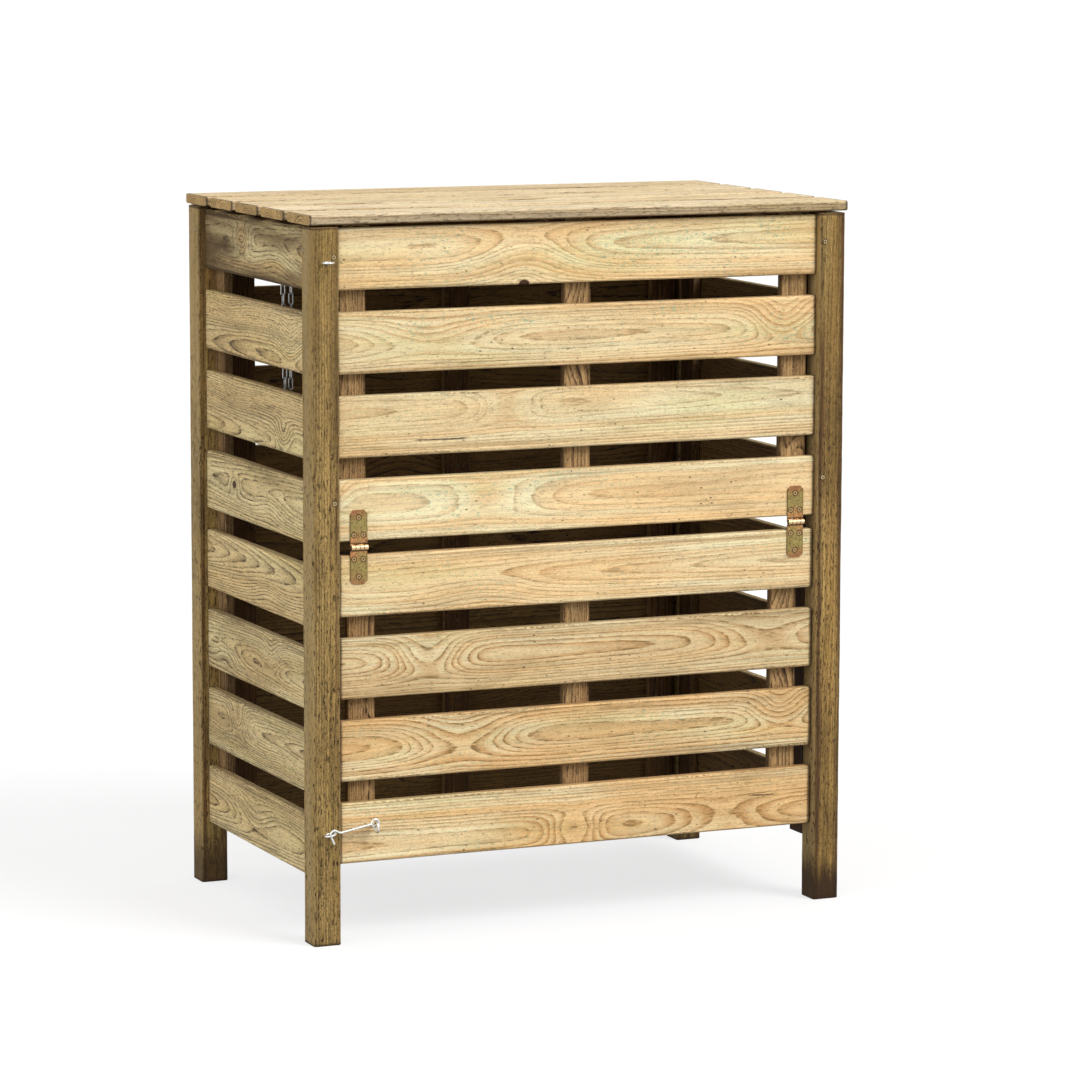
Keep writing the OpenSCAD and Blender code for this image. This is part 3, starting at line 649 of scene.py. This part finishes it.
def any_look(seed, tone=0.0):
    """The look of a board that is hardly seen: a random flat or half-flat cut with a swell."""
    rng = np.random.default_rng(seed)
    return look(rng.uniform(34, 75), rng.uniform(-30, 30), rng.uniform(-26, 26), seed * 0.37,
                tone + rng.uniform(-0.08, 0.08), rng.uniform(0, 0.25), wear=(0.1, 0.6, 0.3),
                swell=(rng.uniform(-200, 200), rng.uniform(-30, 30), rng.uniform(10, 24)))


# Looks of the boards from the top down, the flap's after the fixed front's, and of the lid's from
# the front to the back
FRONT_LOOKS = [
    look(40, 14, -14, 1.3, 0.03, 0.0, (-97, -46, 7), (-92, -16, -38), (1.0, 0.6, 0.45), force=0.85),
    look(33, 0, 13, 2.9, 0.01, 0.0, (348, 22, -17), (-257, 14, 27), (1.0, 0.7, 0.35), force=0.9),
    look(36, 22, 18, 4.1, -0.01, 0.06, (-420, 50, -9), (-125, 22, -24), (0.4, 0.9, 0.3),
         crack=(-235, -25, 52), force=0.8),
    look(50, 8, -12, 5.7, 0.04, 0.0, (-420, 30, -10), (-151, 9, 22), (0.7, 0.6, 0.4), force=0.7),
    look(28, 0, -24, 7.2, 0.0, 0.0, (-470, -30, -14), (-158, -31, 24), (0.6, 0.8, 0.25), force=0.95),
    look(26, 8, 15, 8.8, -0.06, 0.14, (-257, 16, -20), (320, 14, 26), (0.3, 1.0, 0.2), force=1.35),
    look(30, 4, 12, 10.4, -0.03, 0.10, (348, 24, -15), (-202, 20, -40), (0.9, 0.9, 0.75), force=1.5),
    look(34, -22, 12, 12.1, -0.03, 0.08, (-10, -22, -15), (245, -24, 24), (0.4, 0.9, 0.85),
         crack=(318, 6, 30), force=1.25),
]
SIDE_LOOKS = [
    look(48, 10, 34, 21.3, -0.10, 0.85, (60, 10, -11), (-90, -20, 20), (0.1, 1.0, 0.9)),
    look(40, -30, 30, 23.1, 0.0, 0.1, (-150, 4, -14), (120, 26, 16), (0.1, 0.7, 0.5)),
    look(44, -34, -34, 24.7, 0.0, 0.1, (-120, -18, -10), (90, 24, 18), (0.1, 0.7, 0.4)),
    look(46, 8, 40, 26.4, -0.04, 0.15, (100, 6, 7), (-60, -16, 14), (0.1, 0.8, 0.3)),
    look(50, 20, -42, 28.2, 0.0, 0.05, (0, 0, 0), (-40, -20, 16), (0.1, 0.7, 0.4)),
    look(36, -4, 44, 29.9, -0.05, 0.15, (-60, 20, -12), (140, -18, 14), (0.1, 0.8, 0.3)),
    look(34, 12, 42, 31.6, -0.09, 0.2, (90, 18, -13), (-110, -20, 14), (0.1, 0.9, 0.3)),
    look(42, -8, -40, 33.3, -0.04, 0.1, (0, 0, 0), (20, 10, 22), (0.1, 0.9, 0.3)),
]
TOP_WEAR = (0.1, 0.25, 0.3)
LID_LOOKS = [
    look(27, -10, 9, 41.2, 0.0, swell=(160, 10, 20), wear=TOP_WEAR, crack=(-20, 27, 80)),
    look(20, 14, -12, 43.5, 0.02, wear=TOP_WEAR),
    look(24, 0, 14, 45.1, -0.02, wear=TOP_WEAR),
    look(22, -16, -10, 47.7, 0.0, wear=TOP_WEAR),
    look(18, 12, 8, 49.4, -0.03, 0.1, wear=TOP_WEAR),
]
POST_LOOKS = {
    "post_front_left": look(70, 25, 4, 51.0, 0.02, 0.1, wear=(0, 0.5, 0.1)),
    "post_front_right": look(66, -20, -5, 53.0, 0.30, 0.3, wear=(0, 0.9, 1.0)),
    "post_back_left": look(80, 10, 3, 55.0, 0.12, 0.1, wear=(0, 0.8, 0.8)),
    "post_back_right": look(75, 0, -3, 57.0, 0.0, 0.2, wear=(0, 0.7, 0.6)),
}

for k in range(4):
    one_board("front_slat_%d" % (k + 1), FRONT_LOOKS[k], X, Z, FRONT_BOARD, 1)
    one_board("flap_slat_%d" % (k + 1), FRONT_LOOKS[k + 4], X, Z, FRONT_BOARD, 1)
for k in range(8):
    one_board("left_slat_%d" % (k + 1), SIDE_LOOKS[k], Y, Z, SIDE_BOARD, 1)
    one_board("right_slat_%d" % (k + 1), any_look(70 + k), Y, Z, SIDE_BOARD, -1)
for k in range(5):
    one_board("lid_board_%d" % (k + 1), LID_LOOKS[k], X, Y, LID_BOARD, -1)
for node, seen in POST_LOOKS.items():
    one_board(node, seen, Z, X, POST)
board_row("back_slats", 90, 8, BOARD_WIDTH, X, Z, BACK_BOARD, -1)
for node, inward in (("front_battens", 1), ("flap_battens", 1), ("back_battens", -1)):
    board_row(node, 100 + len(node), 3, BATTEN_WIDTH, Z, X, BATTEN, inward)
# The side battens are darkened by a tone of -0.3: painted shade, as they stand inside the bin
for node, inward in (("left_battens", 1), ("right_battens", -1)):
    board_row(node, 120 + len(node), 2, BATTEN_WIDTH, Z, Y, BATTEN, inward, -0.3)
board_row("lid_battens", 140, 3, BATTEN_WIDTH, Y, X, BATTEN, -1)

FLAP_PIN = PIN_OF["flap_swing"]
LID_PIN = PIN_OF["lid_swing"]
HINGE_HALF = 0.014       # half of a hinge's length along its pin
KNUCKLE_LENGTH = 0.007
FLAP_HINGE_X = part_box("flap_hinge_upper_leaves")[1][X] - HINGE_HALF
LID_HINGE_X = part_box("lid_hinge_lid_leaves")[1][X] - HINGE_HALF
FLAP_HEAD_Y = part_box("hinge_screws_flap")[0][Y]
# Distances of a leaf's screws from the pin and from the leaf's middle
FLAP_SCREW_ROWS = ((0.0187, 0.0075), (0.0453, 0.0))
LID_SCREW_ROWS = ((0.014, 0.0075), (0.032, 0.0))


def zinc(name, colour, roughness, metallic):
    """Bright zinc on steel, with painted shade where its surface looks down."""
    made, w, shader = new_material(name)
    up = w.split(w.output("ShaderNodeNewGeometry", "Normal"))[Z]
    # Painted shade on the faces that look down
    w.feed(shader.inputs["Base Color"], w.mix(w.ramp(up, -0.15, -0.75), colour, paint(96, 96, 94)))
    shader.inputs["Roughness"].default_value = roughness
    shader.inputs["Metallic"].default_value = metallic
    return made


def passivated(name, tones):
    """Yellow-passivated steel whose colour runs through three tones with the film's thickness."""
    made, w, shader = new_material(name)
    at = w.object_place()
    film = w.noise(at, 60, 60, 2.0, 0.55)
    fine = w.noise(at, 420, 420, 3.0, 0.6)
    colour = w.mix(w.ramp(film, 0.36, 0.52), tones[0], tones[1])
    colour = w.mix(w.ramp(film, 0.5, 0.66), colour, tones[2])
    colour = w.mix(w.ramp(fine, 0.5, 0.7, 0.0, 0.5), colour, paint(120, 92, 60))
    w.feed(shader.inputs["Base Color"], colour)
    w.feed(shader.inputs["Roughness"], w.ramp(fine, 0.3, 0.8, 0.32, 0.52))
    shader.inputs["Metallic"].default_value = 0.8
    return made


def leaf_shade_and_dirt(w, away, beside, rows):
    """Share of darkening on a hinge's leaf: darker along its sides, and painted shade with some dirt
    round each screw and beside the knuckles.
    """
    dark = w.ramp(beside, HINGE_HALF - 0.0020, HINGE_HALF - 0.0001) * 0.45
    for row, aside in rows:
        off = beside - aside
        out = away - row
        from_screw = w.math("SQRT", off * off + out * out)
        dark = w.math("MAXIMUM", dark, w.ramp(from_screw, 0.0056, 0.0040))
    return w.math("MAXIMUM", dark, w.ramp(away, 0.0078, 0.0055) * 0.85)


def hinge_metal(name, axis, pin_at, middle, rows):
    """Passivated steel of the leaves of a pair of hinges whose middles lie at x = +middle and
    -middle. The film's tone follows the distance from the pin, |coordinate - pin_at|, from the
    knuckle over olive to a reddish end, and the knuckles are painted bright as a highlight, with
    painted shade at their seams. rows places the screws, for the painted shade round them."""
    made, w, shader = new_material(name)
    at = w.object_place()
    place = w.split(at)
    away = abs(place[axis] - pin_at)
    beside = abs(abs(place[X]) - middle)
    film = w.noise(at, 44, 44, 3.0, 0.6)
    fine = w.noise(at, 380, 380, 3.0, 0.65)
    thickness = away + (film - 0.5) * 0.05
    colour = w.mix(w.ramp(thickness, 0.004, 0.024), paint(206, 146, 94), paint(164, 148, 88))
    colour = w.mix(w.ramp(thickness, 0.032, 0.060), colour, paint(172, 116, 78))
    colour = w.mix(w.ramp(fine, 0.42, 0.66, 0.0, 0.75), colour, paint(108, 80, 44))
    knuckle = w.ramp(away, 0.0046, 0.0040)
    dark = leaf_shade_and_dirt(w, away, beside, rows) * (1.0 - knuckle)
    # Painted shade, with some dirt, round the screws and beside the knuckles
    colour = w.mix(dark, colour, paint(46, 32, 18))
    # Painted highlight on the knuckles, with painted shade at the seams between them
    joint = abs(w.math("FRACT", (place[X] - middle) / KNUCKLE_LENGTH) - 0.5)
    bright = w.mix(w.ramp(fine, 0.5, 0.7), paint(230, 200, 156), paint(184, 146, 94))
    bright = w.mix(w.ramp(joint, 0.40, 0.46), bright, SHADE_AND_DIRT)
    w.feed(shader.inputs["Base Color"], w.mix(knuckle, colour, bright))
    w.feed(shader.inputs["Roughness"], w.ramp(fine, 0.3, 0.8, 0.30, 0.52))
    shader.inputs["Metallic"].default_value = 0.75
    bump(w, shader, fine, 0.00004)
    return made


def screw_metal(name, colour):
    """The head of a hinge's screw: bright, with painted shade in the cross, which lies deeper than the
    head's face. Flap screws face the front, lid screws face the joint between leaf and leaf."""
    made, w, shader = new_material(name)
    _, y, z = w.split(w.object_place())
    in_flap = w.ramp(y - FLAP_HEAD_Y, 0.0001, 0.0004)
    in_lid = w.ramp(abs(z - LID_PIN[Z]), 0.0004, 0.0009)
    on_lid = w.math("GREATER_THAN", z, 0.9)
    dark = in_lid * on_lid + in_flap * (1.0 - on_lid)
    # Painted shade in the cross of each head
    w.feed(shader.inputs["Base Color"], w.mix(dark, colour, paint(34, 22, 12)))
    w.feed(shader.inputs["Metallic"], (1.0 - dark) * 0.8)
    shader.inputs["Roughness"].default_value = 0.34
    return made


def sunk_metal(name, colour):
    """A long screw's head and what lies round and in it: bright metal where the shade attribute is
    0, and painted shade in the cross, in the gap and on the wood round the head where it is 1."""
    made, w, shader = new_material(name)
    recess_shade = w.split(w.attribute("recess_shade"))[0]
    fine = w.noise(w.object_place(), 700, 700, 3.0, 0.6)
    metal = w.mix(w.ramp(fine, 0.45, 0.7), colour, paint(110, 82, 52))
    # Painted shade in the cross, the gap and the ring round the head
    w.feed(shader.inputs["Base Color"], w.mix(recess_shade, metal, paint(26, 17, 10)))
    w.feed(shader.inputs["Metallic"], (1.0 - recess_shade) * 0.8)
    w.feed(shader.inputs["Roughness"], w.ramp(recess_shade, 0.0, 1.0, 0.36, 0.9))
    return made


WIRE = zinc("bright_wire", paint(232, 232, 228), 0.26, 0.72)
CHAIN = zinc("chain_wire", paint(172, 173, 170), 0.30, 0.9)
NAIL = zinc("plain_nail", paint(84, 70, 52), 0.6, 0.5)
LEAF = hinge_metal("hinge_leaf", Z, FLAP_PIN[Z], FLAP_HINGE_X, FLAP_SCREW_ROWS)
LID_LEAF = hinge_metal("lid_hinge_leaf", Y, LID_PIN[Y], LID_HINGE_X, LID_SCREW_ROWS)
SCREW = screw_metal("hinge_screw", paint(190, 156, 108))
PIN = passivated("hinge_pin", (paint(236, 214, 168), paint(226, 200, 146), paint(210, 190, 130)))
LONG_SCREW = passivated("long_screw", (paint(206, 190, 150), paint(180, 160, 110), paint(150, 140, 100)))
POST_HEAD = sunk_metal("post_screw_head", paint(206, 180, 130))

METAL_OF = {
    "flap_hinge_upper_leaves": LEAF, "flap_hinge_lower_leaves": LEAF, "lid_hinge_post_leaves": LID_LEAF,
    "lid_hinge_lid_leaves": LID_LEAF, "hinge_pins": PIN, "hinge_screws_frame": SCREW,
    "hinge_screws_flap": SCREW, "hinge_screws_lid": SCREW, "hook": WIRE, "flap_eye": WIRE,
    "lower_eye": WIRE, "upper_eye": WIRE, "chain_strand_wall": CHAIN, "chain_strand_lid": CHAIN,
    "chain_screw_wall": CHAIN, "chain_screw_lid": CHAIN, "post_screws": LONG_SCREW, "panel_nails": NAIL,
    "flap_nails": NAIL, "lid_nails": NAIL,
}
for node, metal in METAL_OF.items():
    mesh = frame["nodes"][node].data
    mesh.materials.clear()
    mesh.materials.append(metal)

# Heads of the posts' long screws
HEAD = 0.0033            # radius
HEAD_RIM = 0.0012        # width of the dark ring round it, painted shade of the dimple it sits in
HEAD_LIFT = 0.0005       # out from the CAD's heads, to just over the posts' dressed faces
CROSS_REACH = 0.58 * HEAD
CROSS_HALF = 0.11 * HEAD
CROSS_TURN = 0.4         # radians


def head_form(r, angle):
    """Height over the surface and darkness of a screw's head at a distance r and an angle. The
    height is a dome, 1 - (r / HEAD)^2, less a cross of two slots with sloping sides, and flat
    beyond r = HEAD. The darkness is painted shade: 1 in the cross and in the gap beyond the head's edge."""
    a, b = np.abs(r * np.cos(angle)), np.abs(r * np.sin(angle))
    cross = np.maximum((a < CROSS_REACH) * np.clip(2.2 - b / CROSS_HALF, 0, 1),
                       (b < CROSS_REACH) * np.clip(2.2 - a / CROSS_HALF, 0, 1))
    dome = 0.00016 + 0.00030 * (1 - (r / HEAD) ** 2) - 0.00045 * cross * (r < 0.6 * HEAD)
    on_head = r <= HEAD + 1e-9
    edge = np.clip((r - 0.93 * HEAD) / (0.07 * HEAD), 0, 1)
    around = np.where(r < HEAD + 0.5 * HEAD_RIM, 1.0, 0.8)
    return np.where(on_head, dome, 0.00008), np.where(on_head, np.maximum(cross, 0.75 * edge), around)


def screw_heads(name, body, spots, outward, rings=25, sides=48):
    """Screw heads on the surface whose normal is outward, one at each of the spots: a polar grid,
    closed by a point at its centre and a point behind."""
    beyond = HEAD + HEAD_RIM * np.array([0.08, 0.2, 0.55, 1.0])
    r = np.concatenate([np.linspace(0, HEAD, rings + 1)[1:], beyond])
    rr, tt = np.meshgrid(r, np.linspace(0, 2 * math.pi, sides, endpoint=False), indexing="ij")
    height, dark = head_form(rr, tt + CROSS_TURN)
    e1 = np.eye(3)[X if outward[X] == 0 else Y]
    e2 = np.cross(outward, e1)
    around = np.cos(tt)[..., None] * e1 + np.sin(tt)[..., None] * e2
    grid = rr[..., None] * around + height[..., None] * outward
    head = np.concatenate([[outward * 0.0001], grid.reshape(-1, 3), [outward * -0.0015]])
    at = 1 + np.arange(len(r) * sides).reshape(-1, sides)
    nxt = np.roll(at, -1, 1)
    faces = [np.stack([at[:-1], at[1:], nxt[1:], nxt[:-1]], -1).reshape(-1, 4),
             np.stack([0 * at[0], at[0], nxt[0]], -1),
             np.stack([0 * at[0] + len(head) - 1, nxt[-1], at[-1]], -1)]
    corners = np.concatenate([part.ravel() for part in faces])
    sizes = np.concatenate([np.full(len(part), part.shape[1]) for part in faces])
    sizes = np.tile(sizes, len(spots))
    points = np.concatenate([head + spot for spot in spots])
    loops = np.concatenate([corners + k * len(head) for k in range(len(spots))])
    mesh = new_mesh(name, points, loops, np.cumsum(sizes) - sizes, np.ones(len(sizes), bool))
    # The darkness is painted shade
    darkness = np.tile(np.concatenate([[1.0], dark.ravel(), [1.0]]), len(spots))
    put_vectors(mesh, "recess_shade", np.stack([darkness, 0 * darkness, 0 * darkness], -1))
    piece = new_piece(name, mesh, POST_HEAD)
    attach(piece, body)


def head_spots(node, axis, level, side_axis):
    """Middles of the screw heads of a node that lie at a level of an axis: the corners found
    there are told apart by the sign of side_axis and by their height, wherever that jumps."""
    mesh = frame["nodes"][node].data
    spots = np.empty(len(mesh.vertices) * 3, np.float32)
    mesh.vertices.foreach_get("co", spots)
    spots = spots.reshape(-1, 3)
    spots = spots[np.abs(spots[:, axis] - level) < 2e-5]
    found = []
    for sign in (-1, 1):
        row = spots[np.sign(spots[:, side_axis]) == sign]
        row = row[np.argsort(row[:, Z])]
        for group in np.split(row, np.flatnonzero(np.diff(row[:, Z]) > 0.02) + 1):
            found.append((group.min(0) + group.max(0)) / 2)
    return found


screws_low, screws_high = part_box("post_screws")
for side, axis, way in (("front", Y, -1), ("back", Y, 1), ("left", X, -1), ("right", X, 1)):
    outward = np.eye(3)[axis] * way
    level = (screws_low if way < 0 else screws_high)[axis]
    spots = [spot + outward * HEAD_LIFT for spot in head_spots("post_screws", axis, level, 1 - axis)]
    screw_heads("head_of_post_screws_" + side, BODY_OF["post_screws"], spots, outward)


def seen_by_camera(w):
    """1 for the camera's rays, straight, mirrored or through something clear, otherwise 0."""
    rays = w.node("ShaderNodeLightPath").outputs
    straight, mirrored, through = (
        Value(w, rays[name]) for name in ("Is Camera Ray", "Is Glossy Ray", "Is Transmission Ray"))
    return w.math("MAXIMUM", w.math("MAXIMUM", straight, mirrored), through)


def white_floor():
    """A floor that keeps a soft shadow and looks white to the camera."""
    mesh = bpy.data.meshes.new("floor")
    far = FLOOR_REACH
    mesh.from_pydata([(-far, -far, 0), (far, -far, 0), (far, far, 0), (-far, far, 0)], [], [(0, 1, 2, 3)])
    floor = bpy.data.objects.new("floor", mesh)
    bpy.context.scene.collection.objects.link(floor)
    made, w, shader = new_material("floor_white")
    shader.inputs["Base Color"].default_value = (FLOOR_GREY, FLOOR_GREY, FLOOR_GREY, 1)
    shader.inputs["Roughness"].default_value = 1.0
    shader.inputs["Specular IOR Level"].default_value = 0.0
    shader.inputs["Emission Color"].default_value = (1, 1, 1, 1)
    w.feed(shader.inputs["Emission Strength"], seen_by_camera(w) * FLOOR_GLOW)
    mesh.materials.append(made)


def even_sky():
    """An even sky that is white to the camera."""
    world = bpy.data.worlds.new("sky")
    bpy.context.scene.world = world
    world.use_nodes = True
    w = Wiring(world.node_tree)
    background = world.node_tree.nodes["Background"]
    background.inputs["Color"].default_value = (1, 1, 1, 1)
    w.feed(background.inputs["Strength"], w.math("MAXIMUM", seen_by_camera(w), SKY))


def sun(name, strength, towards, softness):
    lamp = bpy.data.lights.new(name, "SUN")
    lamp.energy = strength
    lamp.angle = math.radians(softness)
    made = bpy.data.objects.new(name, lamp)
    x, y, z = towards
    made.rotation_euler = (math.atan2(math.hypot(x, y), z), 0.0, math.atan2(x, -y))
    bpy.context.scene.collection.objects.link(made)


white_floor()
even_sky()
sun("key", SUN, SUN_FROM, SUN_SOFTNESS)
sun("fill", FILL, FILL_FROM, FILL_SOFTNESS)

lens = bpy.data.cameras.new("camera")
lens.sensor_width = CAMERA_SENSOR
lens.lens = CAMERA_LENS
camera = bpy.data.objects.new("camera", lens)
camera.matrix_world = (Matrix.Translation(CAMERA_AT) @ Matrix.Rotation(math.radians(-CAMERA_TURN), 4, "Z")
                       @ Matrix.Rotation(math.radians(90 - CAMERA_DOWN), 4, "X")
                       @ Matrix.Rotation(math.radians(CAMERA_ROLL), 4, "Z"))
bpy.context.scene.collection.objects.link(camera)
bpy.context.scene.camera = camera
bpy.context.scene.view_settings.view_transform = "Standard"
